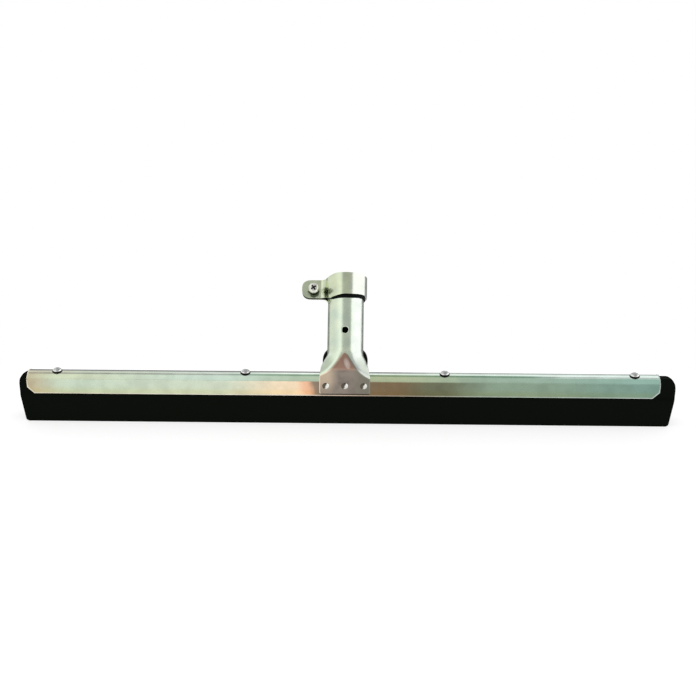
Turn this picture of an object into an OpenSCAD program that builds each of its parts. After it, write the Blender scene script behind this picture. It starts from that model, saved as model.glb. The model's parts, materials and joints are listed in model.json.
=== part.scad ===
// Floor squeegee head. A folded steel channel grips a folded strip of foam rubber, whose two lips wipe
// the floor, and a slanted tube socket with a screw clamp is welded to the middle of the channel.
// X runs along the blade, +Y points to the rear, +Z up. The origin is the middle of the front lip's foot.

/* [Blade] */
// Longest length of the foam blade, across the bulge of its ends
blade_len = 550; // [450:5:760]
// Height of the channel's mouth above the floor
mouth_z = 26.6; // [22:0.2:36]
// Thickness of one lip
lip_t = 8; // [6:0.2:8.4]
// Clear gap between the two lips
lip_gap = 3; // [2:0.2:4]
// How far the blade's ends draw in from their bulge to the floor
end_draw = 6; // [2:0.5:12]
// Radius of the blade end's top corner
end_round = 6; // [2:0.5:8]
// Radius of the blade end's bottom corner
foot_round = 2.5; // [1:0.5:5]
// Rounding of a lip's bottom edges
lip_edge_r = 1; // [0.4:0.1:2]
// Depth of a lip's bending line below the channel's mouth
pivot_drop = 4.4; // [4:0.2:6]
// How far the gripped fold reaches below the mouth
fold_drop = 1.4; // [1:0.2:2]
// Width of the slit between the two folded layers
fold_slit = 1; // [0.6:0.2:2]
// Foam thickness between the top plate and the strip
fold_t = 5; // [4:0.2:6]

/* [Channel] */
// Length of the steel channel
channel_len = 532; // [430:2:740]
// Outer width across the skirts
channel_w = 18.2; // [17:0.2:22]
// Width of the flat top plate, between the bends
top_w = 6.6; // [6:0.2:12]
// Height of the straight skirts
skirt_h = 13; // [10:0.2:20]
// Height of the sloping shoulders
shoulder_h = 3.1; // [2.5:0.1:6]
// Thickness of the channel's sheet
sheet_t = 1; // [0.7:0.1:1.5]
// Outer radius of the channel's bends
bend_r = 2; // [1.6:0.1:3]
// Size of the corner cut at each end of the skirts
corner_cut = 6; // [3:0.5:9]
// How far the hem bead stands out of the skirt
hem_out = 0.7; // [0.3:0.1:1.2]
// Height of the hem bead
hem_h = 1.8; // [1.4:0.1:2.6]

/* [Strip and rivets] */
// Width of the strip in the fold
strip_w = 8; // [6.5:0.5:9]
// Thickness of the strip
strip_t = 2; // [1:0.2:3]
// Distance from the channel's end to the strip's end
strip_inset = 10; // [4:1:16]
// Distance from the channel's end to the first rivet
rivet_inset = 24; // [18:1:40]
// Spacing of the two middle rivets
rivet_mid_pitch = 167; // [100:1:200]
// Radius of a rivet head
rivet_head_r = 4.3; // [3.5:0.1:4.6]
// Height of a rivet head
rivet_head_h = 2.2; // [1.4:0.1:3]
// Radius of a rivet shank
rivet_r = 2; // [1.5:0.1:2.4]
// Radius of the formed rivet tail
rivet_tail_r = 2.9; // [2.6:0.1:3.2]
// Height of the formed rivet tail
rivet_tail_h = 1.4; // [0.8:0.1:2]
// Outer radius of a burr washer
burr_r = 3.9; // [3.3:0.1:4.2]
// Thickness of a burr washer
burr_t = 1; // [0.6:0.1:1.4]

/* [Socket] */
// Bore of the socket, for a handle of this size
bore_d = 28; // [24:0.5:32]
// Wall of the socket
wall = 1.2; // [0.8:0.1:1.6]
// Lean of the socket from upright
lean = 41.5; // [38:0.5:50]
// Length of the socket's front line, from the flap's bend to the mouth
tube_len = 84.5; // [78:0.5:130]
// Length over which the flattened end opens into the round tube
flare_len = 21.6; // [20:0.2:28]
// Height of the front flap's bend above the top plate
bend_rise = 8.8; // [5:0.2:11]
// Width of the two welded flaps
flap_w = 42; // [36:1:46]
// Radius of the flaps' lower corners
flap_corner = 3; // [1:0.5:5]
// Radius of the fixing hole in the tube's front
pin_hole_r = 2.5; // [1.5:0.1:3.5]
// Height of the fixing hole up the front line
pin_hole_at = 34.5; // [30:0.5:45]
// Width of the slit that lets the tube close on a handle
slit_w = 3; // [2:0.5:4]
// How far the slit runs down below the liner
slit_below = 6; // [3:0.5:8]

/* [Clamp] */
// Width of the clamp band along the tube
band_w = 19; // [16:0.5:24]
// Thickness of the clamp band
band_t = 1.2; // [0.8:0.1:1.6]
// Thickness of the rubber liner
liner_t = 1.05; // [0.8:0.05:1.6]
// Liner that shows below the band
liner_show = 2.8; // [1:0.2:5]
// Clear gap between the two ears
ear_gap = 3; // [2:0.5:8]
// How far the ears' top edge lies below the band's
ear_drop = 2.5; // [1:0.5:5]
// Run over which the band's top edge slopes down to the ears
ear_slope = 6; // [3:0.5:9]
// Length of an ear past the screw
ear_over = 10; // [8:0.5:14]
// Distance from the tube's axis to the screw
screw_x = 27.5; // [26.5:0.5:34]
// Radius of the screw
screw_r = 2.5; // [2:0.1:3]
// Length of the screw under its head
screw_len = 16; // [15:0.5:24]
// Radius of the screw's head
head_r = 4.5; // [4:0.1:5.2]
// Height of the screw's head
head_h = 3.4; // [2.4:0.1:4]
// Width of one slot of the head's cross recess
recess_w = 1.2; // [0.8:0.1:1.6]
// Length of one slot of the head's cross recess
recess_len = 5; // [4:0.2:6]
// Depth of the cross recess
recess_h = 1.8; // [1:0.1:2]
// Thickness of the lock washer
washer_t = 1.2; // [0.8:0.1:1.6]
// Outer radius of the lock washer
washer_r = 4.3; // [3.8:0.1:4.6]
// Width of the lock washer's split
washer_split = 0.9; // [0.5:0.1:1.2]
// Width across the nut's flats
nut_af = 8; // [7.5:0.1:9.5]
// Height of the nut
nut_h = 4; // [3:0.1:5]

/* [Hidden] */
$fn = 96;

// Clearances: pieces pressed together, a shaft in its hole, a free hole, and soft parts that turn
seat_fit = 0.1;
shaft_fit = 0.05;
hole_fit = 0.25;
soft_fit = 0.3;
// Extra length of a tool that cuts right through
through = 1;

// Heights of the channel's corners, and the blade's and the strip's own levels
skirt_top = mouth_z + skirt_h;
top_z = skirt_top + shoulder_h;
blade_top = top_z - sheet_t - seat_fit;
strip_top = blade_top - fold_t;
strip_low = strip_top - strip_t;
tail_low = strip_low - burr_t - rivet_tail_h;
pivot_z = mouth_z - pivot_drop;
// A lip's middle plane lies half a pitch from the channel's, and the front lip's is the origin
lip_pitch = lip_t + lip_gap;
rivet_end_x = channel_len / 2 - rivet_inset;
rivet_x = [-rivet_end_x, -rivet_mid_pitch / 2, rivet_mid_pitch / 2, rivet_end_x];

// Tube frame: the axis leaves the channel at axis_foot, along tube_dir, with front_dir square to it
tube_r = bore_d / 2 + wall;
tube_dir = [sin(lean), cos(lean)];
front_dir = [-cos(lean), sin(lean)];
front_bend = [-channel_w / 2 - wall, top_z + bend_rise];
axis_foot = front_bend - tube_r * front_dir;
clamp_low = tube_len - band_w;
liner_low = clamp_low - liner_show;
liner_in = tube_r + soft_fit;
band_in = liner_in + liner_t + shaft_fit;
band_out = band_in + band_t;
ear_face = ear_gap / 2 + band_t;
ear_h = band_w - ear_drop;
ear_foot = (band_in + band_out) / 2;
screw_z = clamp_low + ear_h / 2;

// Shape of the flaps: curved flanks die out over the flat, in steps along and across
flap_run = 5;
front_apex = 0.26;
rear_apex = 0.25;
rear_flat_by = 0.8;
rear_lead = 8;
rear_drop = 4;
rear_plate_drop = 6;
flap_cols = 10;
flare_rows = 7;
bend_rows = 5;
corner_rows = 4;
crotch_slit = 0.6;
flap_sink = 2;
flap_tuck = 0.15;
flat_slope = 0.75;
flat_flare = 8;
flap_low = mouth_z + hem_h + soft_fit;

// Colours
zinc = [0.78, 0.80, 0.76];
zinc_dark = [0.62, 0.64, 0.62];
foam = [0.07, 0.08, 0.07];
liner_black = [0.04, 0.04, 0.04];
screw_steel = [0.72, 0.73, 0.70];

// Unit vector along v
function unit(v) = v / norm(v);
// Arc of radius r that rounds the corner b between a and c
function fillet(a, b, c, r, steps = 6) =
    let (
        u = unit(a - b),
        v = unit(c - b),
        half = acos(u * v) / 2,
        centre = b + unit(u + v) * r / sin(half),
        p = b + u * r / tan(half) - centre,
        q = b + v * r / tan(half) - centre,
        first = atan2(p.y, p.x),
        sweep = (atan2(q.y, q.x) - first + 540) % 360 - 180
    )
    [for (i = [0:steps]) centre + r * [cos(first + sweep * i / steps), sin(first + sweep * i / steps)]];
// Corner b between a and c, moved inwards from both its sides by t
function inset(a, b, c, t) =
    let (u = unit(a - b), v = unit(c - b), half = acos(u * v) / 2)
    b + unit(u + v) * t / sin(half);
// The same points on the other side of the middle plane, in reverse order
function mirrored(points) = [for (i = [len(points) - 1:-1:0]) [-points[i].x, points[i].y]];
function reversed(points) = [for (i = [len(points) - 1:-1:0]) points[i]];

// Front half of the channel's section, a depth of t inside its outer face, from the height low up to the top
function half_section(t, low) =
    let (
        foot = [-channel_w / 2, low],
        hip = [-channel_w / 2, skirt_top],
        ridge = [-top_w / 2, top_z],
        middle = [0, top_z],
        r = max(bend_r - t, 0.3)
    )
    concat(
        [foot + [t, 0]],
        fillet(foot + [t, 0], inset(foot, hip, ridge, t), inset(hip, ridge, middle, t), r),
        fillet(inset(foot, hip, ridge, t), inset(hip, ridge, middle, t), middle - [0, t], r)
    );
// Front hem bead, from its top edge down to the mouth
function hem_bead() = [
    [-channel_w / 2 - hem_out, mouth_z],
    [-channel_w / 2 - hem_out, mouth_z + hem_h - hem_out],
    [-channel_w / 2, mouth_z + hem_h]
];

// Moves what is built round the channel's middle plane to the part's origin
module from_middle() {
    translate([0, lip_pitch / 2, 0])
        children();
}

// Extrudes a section drawn in Y and Z along the blade
module along_x(length) {
    rotate([90, 0, 90])
        linear_extrude(length, center = true)
            children();
}

// Extrudes an outline drawn in X and Z across the blade
module across_y(width) {
    rotate([90, 0, 0])
        linear_extrude(width, center = true)
            children();
}

// Places what is built round an upright tube, front to -Y, on the leaning socket
module on_tube() {
    from_middle()
        translate([0, axis_foot.x, axis_foot.y])
            rotate([-lean, 0, 0])
                children();
}

// Turns what is built along +Z to the clamp screw's axis, head to the front
module on_screw() {
    on_tube()
        translate([-screw_x, 0, screw_z])
            rotate([90, 0, 0])
                children();
}

module frame_channel() {
    outer = concat(hem_bead(), half_section(0, mouth_z + hem_h));
    inner = half_section(sheet_t, mouth_z);
    color(zinc)
        from_middle()
            difference() {
                along_x(channel_len)
                    polygon(concat(outer, mirrored(outer), reversed(mirrored(inner)), reversed(inner)));
                for (side = [-1, 1])
                    translate([side * channel_len / 2, 0, mouth_z])
                        rotate([0, 45, 0])
                            cube([corner_cut * sqrt(2), channel_w * 2, corner_cut * sqrt(2)], center = true);
                for (x = rivet_x)
                    translate([x, 0, top_z - sheet_t - through])
                        cylinder(r = rivet_r + seat_fit, h = sheet_t + 2 * through);
            }
}

module retainer_strip() {
    color(zinc_dark)
        from_middle()
            difference() {
                translate([0, 0, strip_low + strip_t / 2])
                    cube([channel_len - 2 * strip_inset, strip_w, strip_t], center = true);
                for (x = rivet_x)
                    translate([x, 0, strip_low - through])
                        cylinder(r = rivet_r + seat_fit, h = strip_t + 2 * through);
            }
}

// Outline of the whole blade seen from the front, with drawn-in ends
module blade_outline() {
    bulge = blade_len / 2;
    right = concat(
        fillet([0, 0], [bulge - end_draw, 0], [bulge, mouth_z], foot_round),
        [[bulge, mouth_z]],
        fillet([bulge, mouth_z], [bulge, blade_top], [0, blade_top], end_round)
    );
    polygon(concat(right, mirrored(right)));
}

// The gripped layers follow the channel's inside; the fold's pocket holds the strip, burrs and tails
module blade_fold() {
    grip = half_section(sheet_t + seat_fit, mouth_z - fold_drop);
    pocket_w = strip_w + 2 * seat_fit;
    color(foam)
        from_middle()
            difference() {
                intersection() {
                    along_x(blade_len)
                        polygon(concat(grip, mirrored(grip)));
                    across_y(channel_w)
                        blade_outline();
                }
                along_x(blade_len + through)
                    translate([-pocket_w / 2, strip_low - seat_fit])
                        square([pocket_w, strip_t + 2 * seat_fit]);
                along_x(blade_len + through)
                    translate([-fold_slit / 2, 0])
                        square([fold_slit, strip_low]);
                for (side = [-1, 1])
                    translate([0, side * lip_pitch / 2, pivot_z])
                        rotate([0, 90, 0])
                            cylinder(r = lip_t / 2 + soft_fit, h = blade_len + through, center = true);
                for (x = rivet_x)
                    translate([x, 0, tail_low - soft_fit]) {
                        cylinder(r = burr_r + soft_fit, h = strip_low - tail_low + soft_fit);
                        cylinder(r = rivet_r + seat_fit, h = top_z - tail_low);
                    }
            }
}

// One lip, with a round head that turns under the gripped fold
module lip(side) {
    half = lip_t / 2;
    head = [for (i = [0:24]) [half * cos(180 * i / 24), pivot_z + half * sin(180 * i / 24)]];
    foot = concat(
        fillet([-half, pivot_z], [-half, 0], [0, 0], lip_edge_r),
        fillet([0, 0], [half, 0], [half, pivot_z], lip_edge_r)
    );
    color(foam)
        from_middle()
            intersection() {
                translate([0, side * lip_pitch / 2, 0])
                    along_x(blade_len)
                        polygon(concat(head, foot));
                across_y(2 * channel_w)
                    blade_outline();
            }
}

module front_lip() {
    lip(-1);
}

module rear_lip() {
    lip(1);
}

// Domed rivet: head on the top plate, shank through the fold, formed tail under the burr
module rivet(x) {
    dome_r = (rivet_head_r * rivet_head_r + rivet_head_h * rivet_head_h) / (2 * rivet_head_h);
    color(screw_steel)
        from_middle()
            translate([x, 0, 0]) {
                intersection() {
                    translate([0, 0, top_z + rivet_head_h - dome_r])
                        sphere(r = dome_r);
                    translate([0, 0, top_z])
                        cylinder(r = rivet_head_r + through, h = rivet_head_h + through);
                }
                translate([0, 0, tail_low])
                    cylinder(r = rivet_r, h = top_z - tail_low);
                translate([0, 0, tail_low])
                    cylinder(r = rivet_tail_r, h = rivet_tail_h);
            }
}

module rivet_burr(x) {
    color(zinc_dark)
        from_middle()
            translate([x, 0, strip_low - burr_t])
                difference() {
                    cylinder(r = burr_r, h = burr_t);
                    translate([0, 0, -through])
                        cylinder(r = rivet_r + seat_fit, h = burr_t + 2 * through);
                }
}

// Length along a line of points, up to point i
function run(points, i) = i == 0 ? 0 : run(points, i - 1) + norm(points[i] - points[i - 1]);
// Points on a curve with one guide point, and with two
function bend3(a, b, c, t) = a * pow(1 - t, 2) + b * 2 * t * (1 - t) + c * t * t;
function bend4(a, b, c, d, t) =
    a * pow(1 - t, 3) + b * 3 * t * pow(1 - t, 2) + c * 3 * t * t * (1 - t) + d * pow(t, 3);
// Share of a flap's width that is flat, where s runs from the flat's apex to its full width
function flat_share(s) =
    let (t = min(max(s, 0), 1))
    flat_slope * t + (1 - flat_slope) * pow(t, flat_flare);

// Side line of the front flap: down the tube's front, round the bend and down the skirt
front_top = front_bend + flare_len * tube_dir;
front_curve = concat(
    [for (i = [0:flare_rows - 1]) front_top - (flare_len - flap_run) * tube_dir * i / flare_rows],
    [for (i = [0:bend_rows]) bend3(
        front_bend + flap_run * tube_dir, front_bend, front_bend - [0, flap_run], i / bend_rows)]
);
// Side line of the rear flap: in from the tube's back and down the rear skirt
rear_top = axis_foot + flare_len * tube_dir - tube_r * front_dir;
rear_foot = [channel_w / 2 + wall, skirt_top - rear_plate_drop];
rear_curve = [for (i = [0:flare_rows + bend_rows]) bend4(
    rear_top, rear_top - rear_lead * tube_dir, rear_foot + [0, rear_drop], rear_foot,
    i / (flare_rows + bend_rows))];

// Stations of a flap: [y, z, flat half-width, whole half-width, tuck], with rounded lower corners.
// The first one lies up inside the tube's wall, where the sheet is thinner by the tuck on both faces.
function stations(curve, apex, flat_by) =
    let (
        last = len(curve) - 1,
        full = run(curve, last) * flat_by,
        whole = PI / 2 * tube_r - crotch_slit,
        plate_y = curve[last].x
    )
    concat(
        [[curve[0].x + flap_sink * tube_dir.x, curve[0].y + flap_sink * tube_dir.y, 0, whole, flap_tuck]],
        [for (i = [1:last])
            let (
                s = min(run(curve, i) / full, 1),
                half = whole + (flap_w / 2 - whole) * s
            )
            [curve[i].x, curve[i].y, half * flat_share((s - apex) / (1 - apex)), half, flap_tuck * (1 - s)]],
        [for (i = [0:corner_rows])
            let (
                a = 90 * i / corner_rows,
                half = flap_w / 2 - flap_corner * (1 - cos(a))
            )
            [plate_y, flap_low + flap_corner * (1 - sin(a)), half, half, 0]]
    );

// One flap as a bent sheet; a station's flanks are arcs of the tube's radius beside its flat
module flap(rows, rear) {
    last = len(rows) - 1;
    cols = 2 * flap_cols + 1;
    turn = rear ? -1 : 1;
    inward = [for (i = [0:last])
        let (
            ahead = rows[min(i + 1, last)],
            behind = rows[max(i - 1, 0)],
            t = i == 0 ? -tube_dir : unit([ahead[0] - behind[0], ahead[1] - behind[1]])
        )
        turn * [-t.y, t.x]];
    points = [for (face = [0, 1]) for (i = [0:last]) for (k = [-flap_cols:flap_cols])
        let (
            depth = face == 0 ? rows[i][4] : wall - rows[i][4],
            out = abs(k) / flap_cols * rows[i][3],
            arc = max(out - rows[i][2], 0) / tube_r * 180 / PI,
            x = min(out, rows[i][2]) + (tube_r - depth) * sin(arc),
            in = tube_r - (tube_r - depth) * cos(arc)
        )
        [sign(k) * x, rows[i][0] + in * inward[i].x, rows[i][1] + in * inward[i].y]];
    inner = (last + 1) * cols;
    quads = concat(
        [for (i = [0:last - 1]) for (j = [0:cols - 2])
            [i * cols + j, i * cols + j + 1, (i + 1) * cols + j + 1, (i + 1) * cols + j]],
        [for (i = [0:last - 1]) for (j = [0:cols - 2])
            [inner + i * cols + j, inner + (i + 1) * cols + j,
                inner + (i + 1) * cols + j + 1, inner + i * cols + j + 1]],
        [for (i = [0:last - 1])
            [i * cols, (i + 1) * cols, inner + (i + 1) * cols, inner + i * cols]],
        [for (i = [0:last - 1]) let (j = cols - 1)
            [i * cols + j, inner + i * cols + j, inner + (i + 1) * cols + j, (i + 1) * cols + j]],
        [for (j = [0:cols - 2]) [j, inner + j, inner + j + 1, j + 1]],
        [for (j = [0:cols - 2]) let (i = last * cols)
            [i + j, i + j + 1, inner + i + j + 1, inner + i + j]]
    );
    polyhedron(
        points,
        [for (q = quads) for (half = [[0, 1, 2], [0, 2, 3]])
            rear ? [q[half[2]], q[half[1]], q[half[0]]] : [q[half[0]], q[half[1]], q[half[2]]]]
    );
}

module socket() {
    color(zinc) {
        on_tube()
            difference() {
                translate([0, 0, flare_len])
                    cylinder(r = tube_r, h = tube_len - flare_len);
                translate([0, 0, flare_len - through])
                    cylinder(d = bore_d, h = tube_len - flare_len + 2 * through);
                translate([0, 0, pin_hole_at])
                    rotate([90, 0, 0])
                        cylinder(r = pin_hole_r, h = tube_r + through);
                translate([-tube_r - through, -slit_w / 2, liner_low - slit_below])
                    cube([tube_r, slit_w, tube_len]);
            }
        from_middle()
            flap(stations(front_curve, front_apex, 1), false);
        from_middle()
            flap(stations(rear_curve, rear_apex, rear_flat_by), true);
    }
}

// Band bent round the tube, with two ears that the screw pulls together
// What the sloping top edge between band and ears leaves away, seen from the front
module slope_cut() {
    low = [-ear_foot, clamp_low + ear_h];
    high = [ear_slope - ear_foot, tube_len];
    side = [-band_out - through, low.y];
    over = fillet(low, high, [0, tube_len], ear_slope, 3);
    polygon(concat(
        [side], fillet(side, low, high, ear_slope, 3), over,
        [[over[3].x, tube_len + through], [side.x, tube_len + through]]
    ));
}

module clamp_band() {
    end_x = ear_h / 2 - ear_over;
    color(zinc)
        difference() {
            union() {
                on_tube()
                    difference() {
                        translate([0, 0, clamp_low])
                            linear_extrude(band_w)
                                difference() {
                                    circle(r = band_out);
                                    circle(r = band_in);
                                    translate([-band_out - through, -ear_gap / 2])
                                        square([band_out, ear_gap]);
                                }
                        rotate([90, 0, 0])
                            linear_extrude(3 * band_out, center = true)
                                slope_cut();
                    }
                for (side = [-1, 1])
                    on_screw()
                        translate([0, 0, side * (ear_gap + band_t) / 2])
                            linear_extrude(band_t, center = true) {
                                translate([end_x, 0])
                                    circle(r = ear_h / 2);
                                translate([end_x, -ear_h / 2])
                                    square([screw_x - ear_foot - end_x, ear_h]);
                            }
            }
            on_screw()
                cylinder(r = screw_r + hole_fit, h = 4 * ear_face, center = true);
        }
}

module clamp_liner() {
    color(liner_black)
        on_tube()
            translate([0, 0, liner_low])
                linear_extrude(tube_len - liner_low)
                    difference() {
                        circle(r = liner_in + liner_t);
                        circle(r = liner_in);
                        translate([-band_out, -ear_gap / 2])
                            square([band_out, ear_gap]);
                    }
}

// Pan head screw with a cross recess
module clamp_screw() {
    seat = ear_face + washer_t + shaft_fit;
    dome_r = (head_r * head_r + head_h * head_h) / head_h;
    color(screw_steel)
        on_screw()
            difference() {
                union() {
                    translate([0, 0, seat - screw_len])
                        cylinder(r = screw_r, h = screw_len);
                    translate([0, 0, seat])
                        intersection() {
                            cylinder(r = head_r, h = head_h);
                            translate([0, 0, head_h - dome_r])
                                sphere(r = dome_r);
                        }
                }
                for (turn = [0, 90])
                    rotate(turn)
                        translate([-recess_len / 2, -recess_w / 2, seat + head_h - recess_h])
                            cube([recess_len, recess_w, recess_h + through]);
            }
}

// Split spring washer under the screw's head
module clamp_washer() {
    color(zinc_dark)
        on_screw()
            translate([0, 0, ear_face + shaft_fit])
                difference() {
                    cylinder(r = washer_r, h = washer_t - shaft_fit);
                    translate([0, 0, -through])
                        cylinder(r = screw_r + shaft_fit, h = washer_t + 2 * through);
                    translate([0, -washer_split / 2, -through])
                        cube([washer_r + through, washer_split, washer_t + 2 * through]);
                }
}

module clamp_nut() {
    color(screw_steel)
        on_screw()
            translate([0, 0, -ear_face - nut_h])
                difference() {
                    cylinder(d = nut_af / cos(30), h = nut_h, $fn = 6);
                    translate([0, 0, -through])
                        cylinder(r = screw_r + shaft_fit, h = nut_h + 2 * through);
                }
}

frame_channel();
retainer_strip();
blade_fold();
front_lip();
rear_lip();
for (i = [0:len(rivet_x) - 1]) {
    rivet(rivet_x[i]);
    rivet_burr(rivet_x[i]);
}
socket();
clamp_band();
clamp_liner();
clamp_screw();
clamp_washer();
clamp_nut();
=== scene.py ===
import json
import math

import bmesh
import bpy
from mathutils import Matrix, Vector


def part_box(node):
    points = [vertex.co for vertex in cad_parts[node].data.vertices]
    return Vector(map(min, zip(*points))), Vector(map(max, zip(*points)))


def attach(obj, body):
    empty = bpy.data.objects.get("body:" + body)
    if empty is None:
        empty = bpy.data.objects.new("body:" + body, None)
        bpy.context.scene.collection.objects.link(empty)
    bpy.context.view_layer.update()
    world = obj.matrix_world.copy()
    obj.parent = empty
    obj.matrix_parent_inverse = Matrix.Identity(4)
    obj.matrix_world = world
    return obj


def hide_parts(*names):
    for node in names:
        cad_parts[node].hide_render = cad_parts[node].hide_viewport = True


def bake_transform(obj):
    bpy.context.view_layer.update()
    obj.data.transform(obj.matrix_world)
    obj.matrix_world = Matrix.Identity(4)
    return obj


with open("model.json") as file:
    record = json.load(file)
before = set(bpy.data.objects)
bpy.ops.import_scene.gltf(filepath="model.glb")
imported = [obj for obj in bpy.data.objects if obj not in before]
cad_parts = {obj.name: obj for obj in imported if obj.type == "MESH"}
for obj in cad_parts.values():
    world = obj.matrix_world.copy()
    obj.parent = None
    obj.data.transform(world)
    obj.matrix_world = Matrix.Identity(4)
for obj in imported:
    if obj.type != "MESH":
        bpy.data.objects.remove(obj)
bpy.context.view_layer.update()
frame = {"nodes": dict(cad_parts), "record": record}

# Studio: a dim room under a bright ceiling, with a softbox to the left and another to the right of the floor.
# The darker strip between the boxes draws the long streaks down the plated tube. The camera sees plain white.
FRONT_LOW, FRONT_HIGH = 1.0, 0.48
BACK_LOW, BACK_HIGH, BACK_DROP, CEILING_RISE = 0.4, 1.05, 0.6, 0.33
LEFT_BOX_NEAR, LEFT_BOX_FAR, RIGHT_BOX, BELOW = 1.08, 0.8, 1.25, 0.26
scene = bpy.context.scene
scene.view_settings.view_transform = "Standard"


def add_node(tree, kind, inputs=(), **settings):
    """A new node with its settings, and its inputs set to a value or joined to another node's output."""
    node = tree.nodes.new(kind)
    for name, value in settings.items():
        setattr(node, name, value)
    for socket, value in dict(inputs).items():
        if isinstance(value, bpy.types.NodeSocket):
            tree.links.new(value, node.inputs[socket])
        else:
            node.inputs[socket].default_value = value
    return node


def maths(tree, operation, a, b=0.0):
    return add_node(tree, "ShaderNodeMath", {0: a, 1: b}, operation=operation).outputs[0]


def fade(tree, value, low, high, to_low=0.0, to_high=1.0):
    """Soft step of a value from to_low, at low, to to_high, at high."""
    return add_node(
        tree, "ShaderNodeMapRange",
        {"Value": value, "From Min": low, "From Max": high, "To Min": to_low, "To Max": to_high},
        interpolation_type="SMOOTHSTEP",
    ).outputs["Result"]


def mixed(tree, share, first, second):
    """Number that goes from the first value to the second by a share."""
    return add_node(tree, "ShaderNodeMix", {0: share, 2: first, 3: second}).outputs[0]


sky = bpy.data.worlds.new("white_studio")
scene.world = sky
sky.use_nodes = True
tree = sky.node_tree
tree.nodes.clear()
heading = add_node(
    tree, "ShaderNodeSeparateXYZ", {"Vector": add_node(tree, "ShaderNodeTexCoord").outputs["Generated"]}
).outputs
front = mixed(tree, fade(tree, heading["Z"], 0.25, 0.5), FRONT_LOW, FRONT_HIGH)
back_wall = fade(tree, heading["Z"], 0.24, 0.4, BACK_LOW, BACK_HIGH)
back_drop = fade(tree, heading["Z"], 0.66, 0.78, 0.0, -BACK_DROP)
ceiling = fade(tree, heading["Z"], 0.86, 0.96, 0.0, CEILING_RISE)
behind = maths(tree, "ADD", back_wall, maths(tree, "ADD", back_drop, ceiling))
level = mixed(tree, fade(tree, heading["Y"], -0.2, 0.15), front, behind)
left_box = fade(tree, heading["X"], -0.5, -0.95, LEFT_BOX_NEAR, LEFT_BOX_FAR)
level = mixed(tree, fade(tree, heading["X"], -0.22, -0.46), level, left_box)
level = mixed(tree, fade(tree, heading["X"], 0.53, 0.6), level, RIGHT_BOX)
level = mixed(tree, fade(tree, heading["Z"], -0.1, -0.18), level, BELOW)
level = mixed(tree, add_node(tree, "ShaderNodeLightPath").outputs["Is Camera Ray"], level, 1.0)
light = add_node(tree, "ShaderNodeBackground", {"Color": (1, 1, 1, 1), "Strength": level})
add_node(tree, "ShaderNodeOutputWorld", {"Surface": light.outputs[0]})

# Floor: a plain white sheet that takes the squeegee's shadow. It glows a little where it is seen, straight,
# in metal or through glass, so that it runs into the white behind it.
FLOOR_HALF, FLOOR_FORWARD, FLOOR_GREY, FLOOR_GLOW = 1.5, 1.4, 0.5, 0.66
floor_mesh = bmesh.new()
bmesh.ops.create_grid(floor_mesh, x_segments=1, y_segments=1, size=FLOOR_HALF)
bmesh.ops.translate(floor_mesh, vec=(0, -FLOOR_FORWARD, 0), verts=floor_mesh.verts)
floor_data = bpy.data.meshes.new("floor")
floor_mesh.to_mesh(floor_data)
floor_mesh.free()
floor = bpy.data.objects.new("floor", floor_data)
scene.collection.objects.link(floor)
white_floor = bpy.data.materials.new("white_floor")
white_floor.use_nodes = True
tree = white_floor.node_tree
tree.nodes.clear()
rays = add_node(tree, "ShaderNodeLightPath").outputs
shown = maths(tree, "MAXIMUM", rays["Is Camera Ray"], rays["Is Glossy Ray"])
shown = maths(tree, "MAXIMUM", shown, rays["Is Transmission Ray"])
lit = add_node(tree, "ShaderNodeBsdfDiffuse", {"Color": (FLOOR_GREY, FLOOR_GREY, FLOOR_GREY, 1)})
glow_level = maths(tree, "MULTIPLY", shown, FLOOR_GLOW)
glow = add_node(tree, "ShaderNodeEmission", {"Color": (1, 1, 1, 1), "Strength": glow_level})
both = add_node(tree, "ShaderNodeAddShader", {0: lit.outputs[0], 1: glow.outputs[0]})
add_node(tree, "ShaderNodeOutputMaterial", {"Surface": both.outputs[0]})
floor_data.materials.append(white_floor)

# Camera: it stands before the middle of the blade, a metre and a bit away and a hair to the right of square,
# and looks down at the squeegee through a longish lens.
CAMERA_AZIMUTH, CAMERA_HEIGHT, CAMERA_DISTANCE = math.radians(1.15), math.radians(25.7), 1.1707
LOOKED_AT, LENS, SENSOR = Vector((0.0027, 0, 0.06905)), 73.26, 36
camera_data = bpy.data.cameras.new("camera")
camera_data.sensor_width = SENSOR
camera_data.lens = LENS
camera = bpy.data.objects.new("camera", camera_data)
scene.collection.objects.link(camera)
scene.camera = camera
back = Vector((
    math.sin(CAMERA_AZIMUTH) * math.cos(CAMERA_HEIGHT),
    -math.cos(CAMERA_AZIMUTH) * math.cos(CAMERA_HEIGHT),
    math.sin(CAMERA_HEIGHT),
))
camera.location = LOOKED_AT + back * CAMERA_DISTANCE
camera.rotation_mode = "QUATERNION"
camera.rotation_quaternion = (-back).to_track_quat("-Z", "Y")

# Channel: one strip of zinc-plated steel, folded to a roof section that grips the foam all along its length.
# Its corners are clipped at the ends, and the sheet's edge is turned to a smooth round rim all the way round.
MM = 0.001
MIDDLE_Y = 5.5
CHANNEL_LEFT, CHANNEL_RIGHT, CHANNEL_HALF, TOP_HALF = -266, 262, 9.1, 3.3
MOUTH_Z, HIP_Z, TOP_Z, CROWN = 26.6, 39.6, 42.7, 0.22
SHEET, HIP_FOLD, TOP_FOLD, CORNER, RIM_R = 1.0, 0.2, 0.8, 5.3, 0.76
HEM_TOP, HEM_LOW, PLATE_SHADOW_HALF, PLATE_SHADOW_Z, PLATE_SHADOW_HALF_H = 34, 28, 20.8, 28.0, 0.9


def make_piece(name, mesh, *finishes):
    """Turns a mesh built in millimetres into a smooth-shaded piece of the part, in metres."""
    bmesh.ops.scale(mesh, vec=(MM, MM, MM), verts=mesh.verts)
    data = bpy.data.meshes.new(name)
    mesh.to_mesh(data)
    mesh.free()
    data.polygons.foreach_set("use_smooth", [True] * len(data.polygons))
    for finish in finishes:
        data.materials.append(finish)
    piece = bpy.data.objects.new(name, data)
    scene.collection.objects.link(piece)
    return piece


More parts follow.
